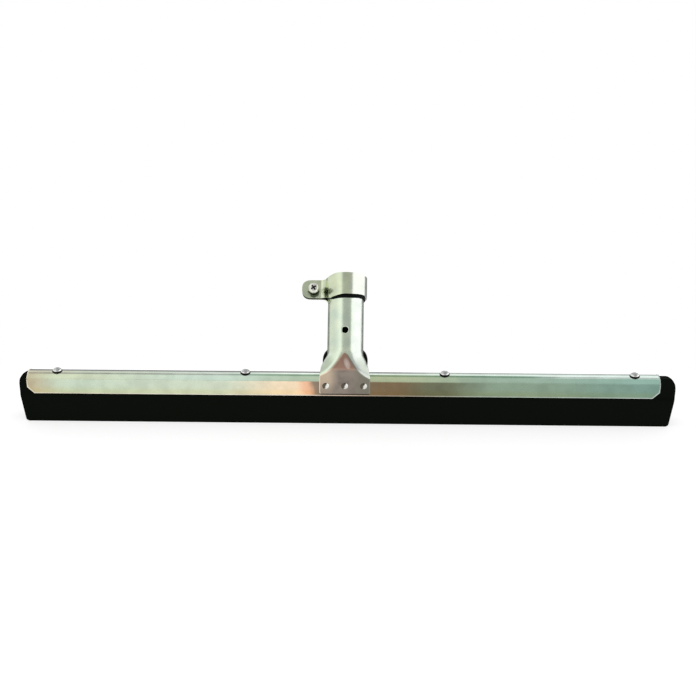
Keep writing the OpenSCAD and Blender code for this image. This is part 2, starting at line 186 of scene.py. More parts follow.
def add_modifier(piece, kind, **settings):
    modifier = piece.modifiers.new(kind.lower(), kind)
    for name, value in settings.items():
        setattr(modifier, name, value)


def baked(piece):
    """Applies a piece's modifiers."""
    bpy.context.view_layer.update()
    held = piece.evaluated_get(bpy.context.evaluated_depsgraph_get())
    piece.data = bpy.data.meshes.new_from_object(held)
    piece.modifiers.clear()
    return piece


def face_outwards(mesh, way):
    """Turns an open sheet's faces so that the one furthest along a direction looks that way."""
    bmesh.ops.recalc_face_normals(mesh, faces=mesh.faces)
    mesh.normal_update()
    furthest = max(mesh.faces, key=lambda face: face.calc_center_median().dot(way))
    if furthest.normal.dot(way) < 0:
        bmesh.ops.reverse_faces(mesh, faces=mesh.faces)
    mesh.normal_update()


def new_finish(name):
    """A new material with its nodes, its shader and the part's own coordinates, in metres."""
    finish = bpy.data.materials.new(name)
    finish.use_nodes = True
    tree = finish.node_tree
    place = add_node(tree, "ShaderNodeTexCoord").outputs["Object"]
    return finish, tree, tree.nodes["Principled BSDF"], place


def axes_of(tree, place):
    return add_node(tree, "ShaderNodeSeparateXYZ", {"Vector": place}).outputs


def fade_at(tree, axis, low, high, to_low=0.0, to_high=1.0):
    """Soft step between two places on an axis, in millimetres."""
    return fade(tree, axis, low * MM, high * MM, to_low, to_high)


def cloud(tree, place, scale, stretch=(1, 1, 1), detail=3.0):
    """Soft random pattern, from 0 to 1, with so many blobs in a metre."""
    spread = add_node(tree, "ShaderNodeMapping", {"Vector": place, "Scale": stretch}).outputs[0]
    noise = add_node(tree, "ShaderNodeTexNoise", {"Vector": spread, "Scale": scale, "Detail": detail})
    return noise.outputs["Fac"]


def blend_colours(tree, share, first, second, mode="MIX"):
    return add_node(
        tree, "ShaderNodeMix", {0: share, 6: first, 7: second}, data_type="RGBA", blend_type=mode
    ).outputs[2]


def colour_band(tree, value, stops):
    """Colours along a value; each stop is its place and its colour."""
    band = add_node(tree, "ShaderNodeValToRGB", {"Fac": value})
    band.color_ramp.interpolation = "EASE"
    points = band.color_ramp.elements
    points[0].position, points[1].position = stops[0][0], stops[-1][0]
    for at, colour in stops[1:-1]:
        points.new(at)
    for point, (at, colour) in zip(points, stops):
        point.color = (*colour, 1)
    return band.outputs["Color"]


def plated_steel(name, colouring, rough, lines=(1, 1, 1)):
    """Zinc plate: a mirror that is a little clouded, with fine rolling lines and uneven passivation."""
    finish, tree, shader, place = new_finish(name)
    clouded = cloud(tree, place, 90.0)
    shade = fade(tree, clouded, 0.3, 0.7, 0.9, 1.04)
    grey = add_node(tree, "ShaderNodeCombineColor", {0: shade, 1: shade, 2: shade}).outputs[0]
    colour = blend_colours(tree, 1.0, colouring(tree, place), grey, "MULTIPLY")
    tree.links.new(colour, shader.inputs["Base Color"])
    fine = cloud(tree, place, 1400.0, lines, 2.0)
    worn = fade(tree, clouded, 0.35, 0.7, rough, rough + 0.07)
    worn = maths(tree, "ADD", fade(tree, fine, 0.3, 0.7, -0.04, 0.05), worn)
    tree.links.new(worn, shader.inputs["Roughness"])
    shader.inputs["Metallic"].default_value = 1.0
    bump = add_node(tree, "ShaderNodeBump", {"Strength": 0.05, "Distance": 0.0001, "Height": fine})
    tree.links.new(bump.outputs[0], shader.inputs["Normal"])
    return finish


def along_channel(tree, axes):
    """Place along the strip, from 0 at its left end to 1 as far to the right of the middle."""
    ends = {"Value": axes["X"], "From Min": CHANNEL_LEFT * MM, "From Max": -CHANNEL_LEFT * MM}
    return add_node(tree, "ShaderNodeMapRange", ends).outputs["Result"]


def channel_colours(tree, place):
    """Passivation tints that run along the strip, greener over the shoulders and warmer by the hem, with
    painted reflections in them: bright left of the socket, dark brown from just left of it rightwards, then
    grey-green.
    """
    axes = axes_of(tree, place)
    y, z = axes["Y"], axes["Z"]
    drift = maths(tree, "MULTIPLY", maths(tree, "SUBTRACT", cloud(tree, place, 30.0), 0.5), 0.04)
    along = maths(tree, "ADD", along_channel(tree, axes), drift)
    skirt = colour_band(tree, along, [
        (0.00, (0.52, 0.45, 0.30)), (0.07, (0.57, 0.67, 0.53)), (0.30, (0.61, 0.68, 0.54)),
        (0.42, (0.92, 0.74, 0.52)), (0.445, (0.89, 0.52, 0.33)), (0.455, (0.26, 0.20, 0.15)),
        (0.57, (0.20, 0.14, 0.08)), (0.64, (0.15, 0.16, 0.10)), (0.75, (0.25, 0.34, 0.25)),
        (1.00, (0.20, 0.32, 0.27)),
    ])
    hem = fade_at(tree, z, HEM_TOP, HEM_LOW)
    skirt = blend_colours(tree, hem, skirt, (1.0, 0.95, 0.80, 1), "MULTIPLY")
    # Painted shadow: a dark strip on the skirt just under the socket flap's lower edge.
    across = fade_at(tree, maths(tree, "ABSOLUTE", axes["X"]), PLATE_SHADOW_HALF, PLATE_SHADOW_HALF - 0.6)
    off_line = maths(tree, "ABSOLUTE", maths(tree, "SUBTRACT", z, PLATE_SHADOW_Z * MM))
    plate_shadow = maths(tree, "MULTIPLY", across, fade_at(tree, off_line, PLATE_SHADOW_HALF_H, PLATE_SHADOW_HALF_H - 0.3))
    plate_shadow = maths(tree, "MULTIPLY", plate_shadow, fade_at(tree, y, 6, 5))
    skirt = blend_colours(tree, plate_shadow, skirt, (0.05, 0.04, 0.03, 1))
    shoulder = colour_band(tree, along, [
        (0.00, (0.74, 0.69, 0.47)), (0.05, (0.84, 0.93, 0.68)), (0.30, (0.80, 0.98, 0.83)),
        (0.43, (0.62, 0.77, 0.58)), (0.57, (0.57, 0.65, 0.42)), (0.75, (0.45, 0.61, 0.48)),
        (1.00, (0.41, 0.65, 0.55)),
    ])
    top = colour_band(tree, along, [
        (0.00, (0.60, 0.57, 0.43)), (0.10, (0.58, 0.64, 0.52)), (0.33, (0.64, 0.72, 0.64)),
        (0.43, (0.92, 1.00, 0.93)), (0.62, (0.76, 0.87, 0.78)), (1.00, (0.80, 0.94, 0.88)),
    ])
    # Painted shade: the rear part of the top is painted dark grey, more so to the left.
    to_left = fade(tree, along, 0.66, 0.56, 0.35, 1.0)
    rear_shade = maths(tree, "MULTIPLY", fade_at(tree, y, 5.4, 6.6), to_left)
    top = blend_colours(tree, rear_shade, top, (0.27, 0.29, 0.27, 1))
    # Painted shade: a darker band along the top's front fold, over the middle of the strip.
    folded = maths(tree, "MULTIPLY", fade(tree, along, 0.29, 0.38), fade(tree, along, 0.85, 0.78))
    fold_shade = maths(tree, "MULTIPLY", fade_at(tree, y, 4.0, 3.1), folded)
    fold_shade_tint = blend_colours(tree, 1.0, shoulder, (0.62, 0.72, 0.68, 1), "MULTIPLY")
    top = blend_colours(tree, fold_shade, top, fold_shade_tint)
    sides = blend_colours(tree, fade_at(tree, z, HIP_Z - 0.5, HIP_Z + 0.3), skirt, shoulder)
    return blend_colours(tree, fade_at(tree, z, TOP_Z - 0.9, TOP_Z - 0.5), sides, top)


def rim_colours(tree, place):
    """Painted highlight: the rim is painted lighter than the skirt beside it, as it catches more light, and
    follows the skirt's painted reflections along the strip.
    """
    return colour_band(tree, along_channel(tree, axes_of(tree, place)), [
        (0.00, (0.84, 0.78, 0.60)), (0.25, (0.91, 0.90, 0.73)), (0.43, (0.98, 0.88, 0.74)),
        (0.47, (0.68, 0.56, 0.46)), (0.56, (0.42, 0.34, 0.26)), (0.75, (0.46, 0.54, 0.45)),
        (1.00, (0.54, 0.61, 0.57)),
    ])


channel_plate = plated_steel("channel_zinc", channel_colours, 0.2, (0.05, 1, 1))
rim_plate = plated_steel("rim_zinc", rim_colours, 0.3)

mesh = bmesh.new()
section = [(-CHANNEL_HALF, MOUTH_Z), (-CHANNEL_HALF, HIP_Z)]
section += [(TOP_HALF * k / 4, TOP_Z - CROWN * (k / 4) ** 2) for k in range(-4, 5)]
section += [(CHANNEL_HALF, HIP_Z), (CHANNEL_HALF, MOUTH_Z)]
corners = [mesh.verts.new((CHANNEL_LEFT, y + MIDDLE_Y, z)) for y, z in section]
edges = [mesh.edges.new(pair) for pair in zip(corners, corners[1:])]
swept = bmesh.ops.extrude_edge_only(mesh, edges=edges)["geom"]
swept = [v for v in swept if isinstance(v, bmesh.types.BMVert)]
bmesh.ops.translate(mesh, vec=(CHANNEL_RIGHT - CHANNEL_LEFT, 0, 0), verts=swept)
for half_width, fold in ((CHANNEL_HALF, HIP_FOLD), (TOP_HALF, TOP_FOLD)):
    folds = [
        e for e in mesh.edges
        if len(e.link_faces) == 2 and abs(abs(e.verts[0].co.y - MIDDLE_Y) - half_width) < 0.01
    ]
    bmesh.ops.bevel(mesh, geom=folds, offset=fold, segments=6, profile=0.5, affect="EDGES", material=-1)
for side, end in ((-1, CHANNEL_LEFT), (1, CHANNEL_RIGHT)):
    bmesh.ops.bisect_plane(
        mesh, geom=mesh.verts[:] + mesh.edges[:] + mesh.faces[:],
        plane_co=(end - side * CORNER, 0, MOUTH_Z), plane_no=(side, 0, -1), clear_outer=True,
    )
face_outwards(mesh, Vector((0, 0, 1)))


def edge_loop(mesh, inwards):
    """Points round the open edge of a sheet, moved in from its face, in order."""
    open_edges = [e for e in mesh.edges if e.is_boundary]
    here = open_edges[0].verts[0]
    loop, used = [], set()
    while True:
        loop.append(here.co - here.normal * inwards)
        step = next((e for e in here.link_edges if e.is_boundary and e not in used), None)
        if step is None:
            return loop[:-1]
        used.add(step)
        here = step.other_vert(here)


def wire_loop(name, points, radius, finish):
    """A closed loop of round wire through points in millimetres."""
    curve = bpy.data.curves.new(name, "CURVE")
    curve.dimensions = "3D"
    curve.bevel_depth = radius * MM
    curve.bevel_resolution = 3
    spline = curve.splines.new("POLY")
    spline.points.add(len(points) - 1)
    for knot, point in zip(spline.points, points):
        knot.co = (*(Vector(point) * MM), 1)
    spline.use_cyclic_u = True
    drawn = bpy.data.objects.new(name + "_line", curve)
    scene.collection.objects.link(drawn)
    bpy.context.view_layer.update()
    data = bpy.data.meshes.new_from_object(drawn.evaluated_get(bpy.context.evaluated_depsgraph_get()))
    bpy.data.objects.remove(drawn)
    data.name = name
    data.materials.clear()
    data.materials.append(finish)
    data.polygons.foreach_set("use_smooth", [True] * len(data.polygons))
    piece = bpy.data.objects.new(name, data)
    scene.collection.objects.link(piece)
    return piece


rim = wire_loop("channel_rim", edge_loop(mesh, SHEET / 2), RIM_R, rim_plate)
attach(rim, "frame")
channel = make_piece("channel", mesh, channel_plate)
add_modifier(channel, "SOLIDIFY", thickness=SHEET * MM, offset=-1.0, use_even_offset=True)
baked(channel).data.set_sharp_from_angle(angle=math.radians(30))
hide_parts("frame_channel")
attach(channel, "frame")

# Blade: a strip of black foam rubber folded in half over a steel strip, so that it ends in two lips.
# Each half is gripped in the channel, swells out under the rim and is cut off at a slant at the ends.
BLADE_LEFT, BLADE_RIGHT, BLADE_TOP, END_DRAW, FOOT_ROUND = -273.2, 275.5, 41.6, 3.4, 2.5
TRIM_SLANT, TRIM_TOP, TRIM_HIGH, TRIM_WIDE = 0.48, 43.05, 14.5, 7.3
LIP_OUT, LIP_IN, GRIP_HALF, SLIT_HALF, FOLD_HALF = 9.5, 1.5, 8.0, 0.5, 3.02
SHOULDER_Z, SWELL_FROM, SWELL_TO, PART_FROM, PART_TO = 38.94, 26.9, 23.4, 27, 23
STRIP_TOP, STRIP_LOW, POCKET_HALF = 36.7, 34.5, 4.1
BEND_FROM, BEND_TO, EDGE_ROUND = 26.4, 14.0, 0.7


def foam_rubber(name):
    """Matt black cellular rubber: a fine skin with pinholes where cells are open."""
    finish, tree, shader, place = new_finish(name)
    dusty = cloud(tree, place, 55.0, (0.35, 1, 1), 4.0)
    black, dust = (0.0014, 0.0028, 0.0010, 1), (0.0030, 0.0046, 0.0024, 1)
    colour = blend_colours(tree, fade(tree, dusty, 0.35, 0.75), black, dust)
    tree.links.new(colour, shader.inputs["Base Color"])
    cells = add_node(tree, "ShaderNodeTexVoronoi", {"Vector": place, "Scale": 1500.0}).outputs["Distance"]
    grain = maths(tree, "MULTIPLY", cloud(tree, place, 900.0), 0.8)
    skin = maths(tree, "ADD", fade(tree, cells, 0.05, 0.4), grain)
    bump = add_node(tree, "ShaderNodeBump", {"Strength": 0.25, "Distance": 0.00025, "Height": skin})
    tree.links.new(bump.outputs[0], shader.inputs["Normal"])
    tree.links.new(fade(tree, dusty, 0.3, 0.8, 0.62, 0.8), shader.inputs["Roughness"])
    shader.inputs["Specular IOR Level"].default_value = 0.05
    return finish


def limit(value, low=0, high=1):
    return min(max(value, low), high)


def drawn_in(y, z):
    """How far a blade's end lies inside its longest point: slanted below the channel, its corners rounded."""
    if z > MOUTH_Z:
        over = limit((z + TRIM_SLANT * y - TRIM_TOP) / TRIM_HIGH + 1)
        return TRIM_WIDE * (1 - math.sqrt(1 - over ** 2))
    drawn = END_DRAW * (1 - z / MOUTH_Z)
    if z < FOOT_ROUND:
        drawn += FOOT_ROUND - math.sqrt(FOOT_ROUND ** 2 - (FOOT_ROUND - z) ** 2)
    return drawn


def soften_edges(piece, width, segments=2):
    """Rounds a piece's sharp edges by a width in millimetres."""
    add_modifier(
        piece, "BEVEL", width=width * MM, segments=segments, limit_method="ANGLE",
        angle_limit=math.radians(50), profile=0.5, harden_normals=True,
    )


foam = foam_rubber("foam_rubber")
foot_cuts = [0.4, 1, 1.7, 2.5]
bend_cuts = [z + 0.5 for z in range(13, 27)]
trim_cuts = [28 + 13.5 * math.sin(k * math.pi / 32) for k in range(16)]
section = [(-FOLD_HALF * k / 6, BLADE_TOP) for k in range(7)] + [
    (-GRIP_HALF, SHOULDER_Z), (-GRIP_HALF, SWELL_FROM), (-GRIP_HALF - 0.25, SWELL_FROM - 0.7),
    (-LIP_OUT + 0.35, SWELL_TO + 1.5), (-LIP_OUT, SWELL_TO), (-LIP_OUT, 0), (-LIP_IN, 0), (-LIP_IN, PART_TO),
    (-SLIT_HALF, PART_FROM), (-SLIT_HALF, STRIP_LOW), (-POCKET_HALF, STRIP_LOW), (-POCKET_HALF, STRIP_TOP),
    (0, STRIP_TOP),
]
for name, side, body, nodes in (
    ("front_blade_half", -1, "front_lip_body", ("front_lip", "blade_fold")),
    ("rear_blade_half", 1, "rear_lip_body", ("rear_lip",)),
):
    mesh = bmesh.new()
    end = mesh.faces.new([mesh.verts.new((-1, MIDDLE_Y - side * y, z)) for y, z in section])
    grown = bmesh.ops.extrude_face_region(mesh, geom=[end])["geom"]
    bmesh.ops.translate(mesh, vec=(2, 0, 0), verts=[v for v in grown if isinstance(v, bmesh.types.BMVert)])
    for z in foot_cuts + bend_cuts + trim_cuts:
        bmesh.ops.bisect_plane(
            mesh, geom=mesh.verts[:] + mesh.edges[:] + mesh.faces[:], plane_co=(0, 0, z), plane_no=(0, 0, 1)
        )
    for v in mesh.verts:
        inside = drawn_in(v.co.y - MIDDLE_Y, v.co.z)
        v.co.x = BLADE_RIGHT - inside if v.co.x > 0 else BLADE_LEFT + inside
    bmesh.ops.recalc_face_normals(mesh, faces=mesh.faces)
    half = make_piece(name, mesh, foam)
    half.data.set_sharp_from_angle(angle=math.radians(40))
    soften_edges(half, EDGE_ROUND, 3)
    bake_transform(half)
    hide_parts(*nodes)

# Retaining strip: flat bar that lies in the fold of the foam, with a burr washer under each rivet's tail.
# Both are plain bright-drawn steel, and only the strip's ends can be seen, deep in the fold.


def mottled(tree, place, scale, first, second, stretch=(1, 1, 1)):
    """Two colours in soft patches, so many in a metre."""
    return blend_colours(tree, fade(tree, cloud(tree, place, scale, stretch), 0.35, 0.7), first, second)


def bar_colours(tree, place):
    """Grey drawn steel, streaked along the bar."""
    return mottled(tree, place, 240.0, (0.50, 0.50, 0.48, 1), (0.36, 0.35, 0.33, 1), (0.1, 1, 1))


bar_steel = plated_steel("bar_steel", bar_colours, 0.34, (0.03, 1, 1))
for name in ("retainer_strip", "rivet_burr_1", "rivet_burr_2", "rivet_burr_3", "rivet_burr_4"):
    frame["nodes"][name].data.materials.clear()
    frame["nodes"][name].data.materials.append(bar_steel)

# Rivets: four domed steel rivets set down through the channel's top, the foam and the strip.
# The head was closed in a cupped tool, which left a flat ring round its foot.
RIVET_HEAD_R, RIVET_HEAD_H, RIVET_R, TAIL_R, TAIL_H, TAIL_Z = 4.3, 2.9, 2.0, 2.9, 1.4, 32.2
SHOULDER_HIGHLIGHT_Z, FOOT_SHADE_Z = TOP_Z + 1.9, TOP_Z + 1.2


def lathe(mesh, outline, steps=48, at=Matrix()):
    """Spins an outline of (radius, height) points round the upright axis, then puts it in place."""
    before = set(mesh.verts)
    line = [mesh.verts.new((r, 0, z)) for r, z in outline]
    edges = [mesh.edges.new(pair) for pair in zip(line, line[1:])]
    bmesh.ops.spin(
        mesh, geom=line + edges, cent=(0, 0, 0), axis=(0, 0, 1), angle=2 * math.pi, steps=steps,
        use_merge=True,
    )
    made = [v for v in mesh.verts if v not in before]
    bmesh.ops.remove_doubles(mesh, verts=made, dist=0.0005)
    made = [v for v in mesh.verts if v not in before]
    bmesh.ops.recalc_face_normals(mesh, faces=list({f for v in made for f in v.link_faces}))
    bmesh.ops.transform(mesh, matrix=at, verts=made)
    return made


def rivet_colours(tree, place):
    """Grey dome with a painted highlight round its shoulder, and painted shade in a black ring round its
    foot.
    """
    height = axes_of(tree, place)["Z"]
    dome = mottled(tree, place, 420.0, (0.56, 0.58, 0.56, 1), (0.42, 0.44, 0.43, 1))
    shoulder = fade_at(tree, height, SHOULDER_HIGHLIGHT_Z, SHOULDER_HIGHLIGHT_Z - 0.4)
    with_highlight = blend_colours(tree, shoulder, dome, (0.95, 0.96, 0.94, 1))
    foot_shade = fade_at(tree, height, FOOT_SHADE_Z, FOOT_SHADE_Z - 0.3)
    return blend_colours(tree, foot_shade, with_highlight, (0.012, 0.013, 0.011, 1))


rivet_steel = plated_steel("rivet_zinc", rivet_colours, 0.22)
dome_r = (RIVET_HEAD_R ** 2 + RIVET_HEAD_H ** 2) / (2 * RIVET_HEAD_H)
dome = [
    (dome_r * math.sin(a), TOP_Z + RIVET_HEAD_H - dome_r + dome_r * math.cos(a))
    for a in (math.asin((RIVET_HEAD_R - 0.5) / dome_r) * k / 9 for k in range(10))
]
ring = [
    (RIVET_HEAD_R - 0.25, TOP_Z + 0.42), (RIVET_HEAD_R, TOP_Z + 0.3), (RIVET_HEAD_R, TOP_Z + 0.08),
    (RIVET_HEAD_R - 0.1, TOP_Z),
]
tail = [
    (RIVET_R, TOP_Z), (RIVET_R, TAIL_Z + TAIL_H), (TAIL_R - 0.2, TAIL_Z + TAIL_H),
    (TAIL_R, TAIL_Z + TAIL_H - 0.2), (TAIL_R, TAIL_Z + 0.5), (TAIL_R - 0.5, TAIL_Z), (0, TAIL_Z),
]
for number in range(1, 5):
    low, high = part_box(f"rivet_{number}")
    mesh = bmesh.new()
    lathe(mesh, dome + ring + tail, at=Matrix.Translation(((low.x + high.x) / 2 / MM, MIDDLE_Y, 0)))
    rivet = make_piece(f"domed_rivet_{number}", mesh, rivet_steel)
    rivet.data.set_sharp_from_angle(angle=math.radians(50))
    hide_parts(f"rivet_{number}")
    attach(rivet, "frame")

# Handle socket: a steel tube split at its lower end, where its halves are pressed flat to make two flaps.
# The flaps straddle the channel and are spot-welded to its skirts; a slit lets the mouth close on the handle.
mount = next(m for m in frame["record"]["mounts"] if m["name"] == "handle_socket")
TUBE_R, WALL, TUBE_LEN, TUBE_SHORT, FLARE_LEN = 15.2, 1.2, 84.5, 2.3, 21.6
BEND_RUN, FLAP_HALF, REAR_HALF, FLAP_LOW, FLAP_CORNER, CROTCH_GAP = 5.0, 21.3, 18.0, 28.7, 1.2, 0.6
REAR_DROP, REAR_IN, REAR_DOWN = 6, 8, 4
PIN_AT, PIN_R, SLIT_AT, SLIT_HALF_W, SLIT_TAPER = 34.5, 2.85, 56.7, 1.5, 1.5
CREASE, CREASE_RUN, NOTCH, LOOSER, LEFT_SOONER = math.radians(13), 1.8, 1.6, 1.9, 1.13
FLAT_EVEN, FLAT_RUN, TIP_BACK, TIP_SHARE = 0.73, 6, 1.5, 0.125
GLINT_X, GLINT_Z, GLINT_HALF_W, GLINT_HALF_H, GLINT_SLANT = 1.9, 55.3, 2.4, 3.5, 1.3
COLUMNS, CURL_STEPS = 36, 24
up = Vector(mount["axis"][1:])
out = Vector((-up.y, up.x))
foot = Vector(mount["pos_m"][1:]) / MM - Vector((MIDDLE_Y, 0)) - up * (TUBE_LEN + FLARE_LEN) / 2
quarter = math.pi / 2 * TUBE_R
crotch, pin, slit_end = TUBE_LEN - FLARE_LEN, TUBE_LEN - PIN_AT, TUBE_LEN - SLIT_AT


def walk(points):
    """Points and headings by length along a line of points, for any length on it."""
    lengths = [0.0]
    for a, b in zip(points, points[1:]):
        lengths.append(lengths[-1] + (b - a).length)

    def at(length):
        k = 0
        while k < len(points) - 2 and lengths[k + 1] < length:
            k += 1
        heading = (points[k + 1] - points[k]).normalized()
        return points[k] + heading * (length - lengths[k]), heading

    return at, lengths[-1]


def eased(low, high, value):
    """Soft step from 0, at low, to 1, at high."""
    share = limit((value - low) / (high - low))
    return share * share * (3 - 2 * share)


def flat_share(s):
    """Share of a flap's width that is pressed flat, from the flat's tip to its full width."""
    return FLAT_EVEN * s + (1 - FLAT_EVEN) * s ** 6


def front_line():
    """Side view of the front flap: down the tube's front, round the bend and down the skirt."""
    bend = foot + out * TUBE_R
    a, c = bend + up * BEND_RUN, bend - Vector((0, BEND_RUN))
    arc = [a * (1 - t) ** 2 + bend * 2 * t * (1 - t) + c * t * t for t in (k / 24 for k in range(25))]
    return [bend + up * TUBE_LEN] + arc + [Vector((bend.x, FLAP_LOW))]


def rear_line():
    """Side view of the rear flap: down the tube's back, in under it and down the rear skirt."""
    a = foot - out * TUBE_R + up * FLARE_LEN
    d = Vector((CHANNEL_HALF + WALL, HIP_Z - REAR_DROP))
    b, c = a - up * REAR_IN, d + Vector((0, REAR_DOWN))
    arc = [
        a * (1 - t) ** 3 + b * 3 * t * (1 - t) ** 2 + c * 3 * t * t * (1 - t) + d * t ** 3
        for t in (k / 40 for k in range(41))
    ]
    return [a + up * crotch] + arc + [Vector((d.x, FLAP_LOW))]


def bent(flap, u, length):
    """Place on the bent sheet of a point at a share u of the half-width, and how far in on the flat it is."""
    point, heading = flap["at"](length)
    front = 1 if flap["front"] else 0
    inward = Vector((-heading.y, heading.x)) * (1 if front else -1)
    s = limit((length - crotch) / flap["full"])
    whole = quarter - CROTCH_GAP * limit(length - crotch)
    half = whole + (flap["half"] - whole) * s - front * NOTCH * math.sin(math.pi * s)
    left = flap["length"] - length
    if left < FLAP_CORNER:
        half -= FLAP_CORNER - math.sqrt(max(FLAP_CORNER ** 2 - (FLAP_CORNER - left) ** 2, 0))
    opened = limit((s - flap["apex"]) / (1 - flap["apex"]) * (LEFT_SOONER if u < 0 else 1))
    flat = half * flat_share(opened)
    crease = front * CREASE * eased(0, 0.4, opened)
    curl = TUBE_R * (1 + front * LOOSER * eased(0.05, 0.95, opened))
    reach = abs(u) * half
    if u < 0 and length < crotch:
        reach = min(reach, quarter - SLIT_HALF_W * limit((slit_end - length) / SLIT_TAPER))
    run = max(reach - flat, 0)
    x, deep = min(reach, flat), 0
    for k in range(CURL_STEPS):
        gone = run * (k + 0.5) / CURL_STEPS
        angle = crease * min(gone / CREASE_RUN, 1) + gone / curl
        x += math.cos(angle) * run / CURL_STEPS
        deep += math.sin(angle) * run / CURL_STEPS
    moved = inward * deep
    pressed = limit(flat - reach, -FLAT_RUN, FLAT_RUN) - TIP_BACK * (1 - limit(opened / TIP_SHARE))
    return Vector((math.copysign(x, u), point.x + moved.x + MIDDLE_Y, point.y + moved.y)), pressed


def punched(mesh, verts, length, radius):
    """Faces of the blank's grid in a round hole on its middle line, their border moved to the circle."""
    centre = Vector((0, length, 0))
    block = [
        f for f in mesh.faces if f.verts[0] in verts
        and abs(f.calc_center_median().x) < 4.3 and abs(f.calc_center_median().y - length) < 3.9
    ]
    bmesh.ops.inset_region(mesh, faces=block, thickness=0.4, use_even_offset=True)
    ring = {e for f in block for e in f.edges if sum(g in block for g in e.link_faces) == 1}
    for v in {v for e in ring for v in e.verts}:
        v.co = centre + (v.co - centre).normalized() * radius
    return block


tube_rows = [TUBE_SHORT, 5, 10, 15, 20, 24, slit_end - SLIT_TAPER, slit_end, 32, 35, 38, 41, 44]
tube_rows += [pin + k for k in (-4, -2, 0, 2, 4)] + [57, 59, 61, crotch - 1.4, crotch]
mesh = bmesh.new()
flatness = mesh.verts.layers.float.new("pressed_flat")
for front, half, apex, flat_by, line in (
    (True, FLAP_HALF, 0.185, 1.157, front_line()), (False, REAR_HALF, 0.07, 0.62, rear_line()),
):
    at, length = walk(line)
    flare = length - (line[-2].y - FLAP_LOW) - crotch
    flap = {"at": at, "length": length, "front": front, "half": half, "apex": apex, "full": flare * flat_by}
    rows = tube_rows + [crotch + 0.9] + [crotch + flare * k / 14 for k in range(1, 15)]
    if front:
        rows += [crotch + flare + k for k in (1.3, 2.7, 4.1, 6)]
    rows += [length - k for k in (2.6, 1.7, 0.9, 0.35, 0)]
    rows = sorted(set(round(r, 3) for r in rows))
    before = set(mesh.verts)
    bmesh.ops.create_grid(mesh, x_segments=COLUMNS, y_segments=len(rows) - 1, size=1)
    verts = {v for v in mesh.verts if v not in before}
    for v in verts:
        column = round((v.co.x + 1) / 2 * COLUMNS)
        row = round((v.co.y + 1) / 2 * (len(rows) - 1))
        v.co = ((column / COLUMNS * 2 - 1) * quarter, rows[row], 0)
    if front:
        bmesh.ops.delete(mesh, geom=punched(mesh, verts, pin, PIN_R), context="FACES")
    for v in [v for v in mesh.verts if v not in before]:
        v.co, v[flatness] = bent(flap, v.co.x / quarter, v.co.y)
bmesh.ops.remove_doubles(mesh, verts=mesh.verts, dist=0.02)
face_outwards(mesh, Vector((0, -1, 0)))


def socket_colours(tree, place):
    """Pale green-white on the round tube and a warmer tint on the pressed flat, with painted reflection,
    painted highlights and painted shade on the flat and its flanks.
    """
    axes = axes_of(tree, place)
    x, z = axes["X"], axes["Z"]
    pressed = add_node(tree, "ShaderNodeAttribute", attribute_name="pressed_flat").outputs["Fac"]
    drift = cloud(tree, place, 90.0, detail=2.0)
    mint = blend_colours(tree, fade(tree, drift, 0.3, 0.7), (0.77, 0.90, 0.74, 1), (0.80, 0.88, 0.69, 1))
    round_tint = blend_colours(tree, fade_at(tree, x, 3, 8), mint, (0.80, 0.85, 0.79, 1))
    # Painted shade: the flanks are painted darker towards their outer edges, low down, more on the left.
    outer = maths(tree, "MULTIPLY", fade(tree, pressed, -2.0, -5.5), fade_at(tree, z, 60, 54))
    outer = maths(tree, "MULTIPLY", outer, fade_at(tree, x, -4, 4, 0.8, 0.45))
    round_tint = blend_colours(tree, outer, round_tint, (0.40, 0.46, 0.36, 1))
    # Painted reflection: the pressed flat is painted a dull dark brown, and darker still to the right.
    brown, umber = (0.29, 0.245, 0.205, 1), (0.18, 0.155, 0.135, 1)
    flat_tint = blend_colours(tree, fade(tree, drift, 0.36, 0.66), brown, umber)
    # Painted highlight: the flat's left part is painted a lighter peach, most towards the top.
    left_highlight = maths(tree, "MULTIPLY", fade_at(tree, x, -4, -14), fade_at(tree, z, 30, 42, 0.4, 1.0))
    flat_tint = blend_colours(tree, left_highlight, flat_tint, (0.50, 0.40, 0.30, 1))
    flat_tint = blend_colours(tree, fade_at(tree, x, 4, 16, 0.0, 0.8), flat_tint, (0.19, 0.18, 0.14, 1))
    tip_tint = blend_colours(tree, fade_at(tree, z, 49, 53.5), flat_tint, (0.55, 0.34, 0.25, 1))
    # Painted highlight: a pale pink slanted streak on the flat's tip.
    above = maths(tree, "DIVIDE", maths(tree, "SUBTRACT", z, GLINT_Z * MM), GLINT_HALF_H * MM)
    slanted = maths(tree, "ADD", x, maths(tree, "MULTIPLY", above, GLINT_SLANT * MM))
    aside = maths(tree, "DIVIDE", maths(tree, "SUBTRACT", slanted, GLINT_X * MM), GLINT_HALF_W * MM)
    off_glint = maths(tree, "ADD", maths(tree, "MULTIPLY", aside, aside), maths(tree, "MULTIPLY", above, above))
    tip_tint = blend_colours(tree, fade(tree, off_glint, 1.6, 0.0), tip_tint, (0.92, 0.74, 0.66, 1))
    # Painted highlight along the flat's left crease, and painted shade along its right crease.
    crease = fade(tree, maths(tree, "ABSOLUTE", pressed), 1.3, 0.2)
    crease_highlight = maths(tree, "MULTIPLY", crease, fade_at(tree, x, 0, -3))
    crease_shade = maths(tree, "MULTIPLY", crease, fade_at(tree, x, 0, 3, 0.0, 0.7))
    sheet = blend_colours(tree, fade(tree, pressed, -0.5, 0.4), round_tint, tip_tint)
    sheet = blend_colours(tree, crease_highlight, sheet, (0.80, 0.66, 0.50, 1))
    return blend_colours(tree, crease_shade, sheet, (0.26, 0.29, 0.23, 1))


